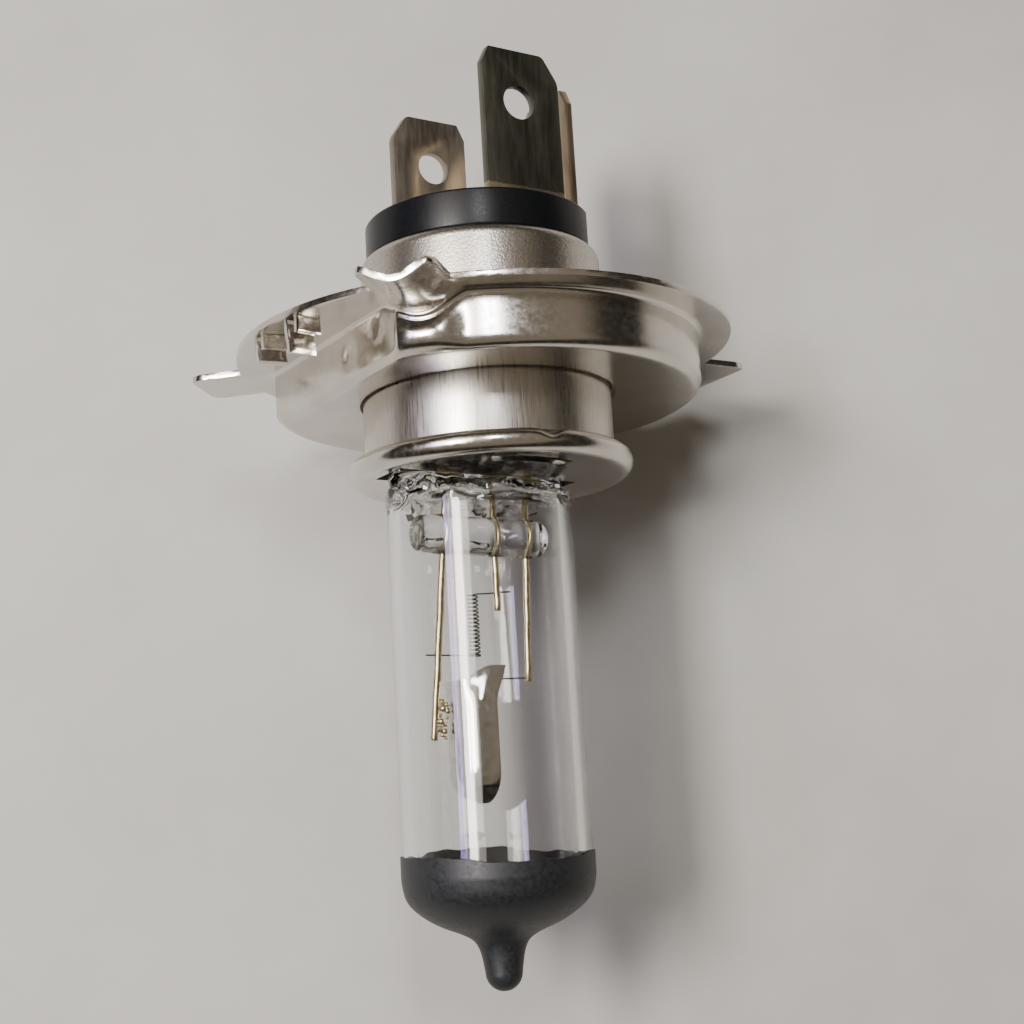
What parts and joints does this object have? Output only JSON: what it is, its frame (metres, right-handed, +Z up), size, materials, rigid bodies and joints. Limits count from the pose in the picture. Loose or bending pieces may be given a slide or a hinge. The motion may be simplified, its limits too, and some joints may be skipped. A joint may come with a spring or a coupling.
{
  "type": "headlight bulb",
  "caption": "Halogen headlight bulb with high and low beam filaments, a prefocus flange with locating lugs, flat blade terminals and a black-tipped clear glass tube.",
  "frame": {"origin": "on the base axis, at the back face of the ring flange", "axes": "+Y along the base axis towards the blade terminals, -Y towards the glass tip, +Z up with the bulb lying on its side"},
  "size_m": [0.0496, 0.079, 0.0474],
  "materials": {
    "bright_nickel": "bright nickel plate on stamped steel",
    "satin_nickel": "satin nickel plate",
    "brushed_nickel": "nickel plate with fine drawn lines along the axis",
    "black_insulator": "smooth moulded thermoset",
    "terminal_metal": "plated steel blade, lightly tarnished",
    "lead_wire": "drawn molybdenum wire, pale gold by oxide and reflection",
    "quartz_glass": "clear fused quartz",
    "black_coating": "dipped opaque heat-resistant coating, satin",
    "tungsten": "coiled tungsten wire",
    "shield_metal": "pressed molybdenum sheet"
  },
  "bodies": {
    "root": {"base_shell": "satin_nickel", "glass_envelope": "quartz_glass", "glass_holder_plate": "bright_nickel", "high_beam_filament": "tungsten", "inner_lead_ground": "lead_wire", "inner_lead_high_beam": "lead_wire", "inner_lead_low_beam": "lead_wire", "low_beam_filament": "tungsten", "low_beam_shield": "shield_metal", "lower_sleeve": "brushed_nickel", "opaque_dome_coating": "black_coating", "outer_lead_ground": "lead_wire", "outer_lead_high_beam": "lead_wire", "outer_lead_low_beam": "lead_wire", "pinch_clamp_front": "brushed_nickel", "pinch_clamp_rear": "brushed_nickel", "pinch_foil_ground": "lead_wire", "pinch_foil_high_beam": "lead_wire", "pinch_foil_low_beam": "lead_wire", "prefocus_ring": "bright_nickel", "quartz_bridge": "quartz_glass", "terminal_ground": "terminal_metal", "terminal_high_beam": "terminal_metal", "terminal_insulator": "black_insulator", "terminal_low_beam": "terminal_metal"}
  },
  "joints": []
}
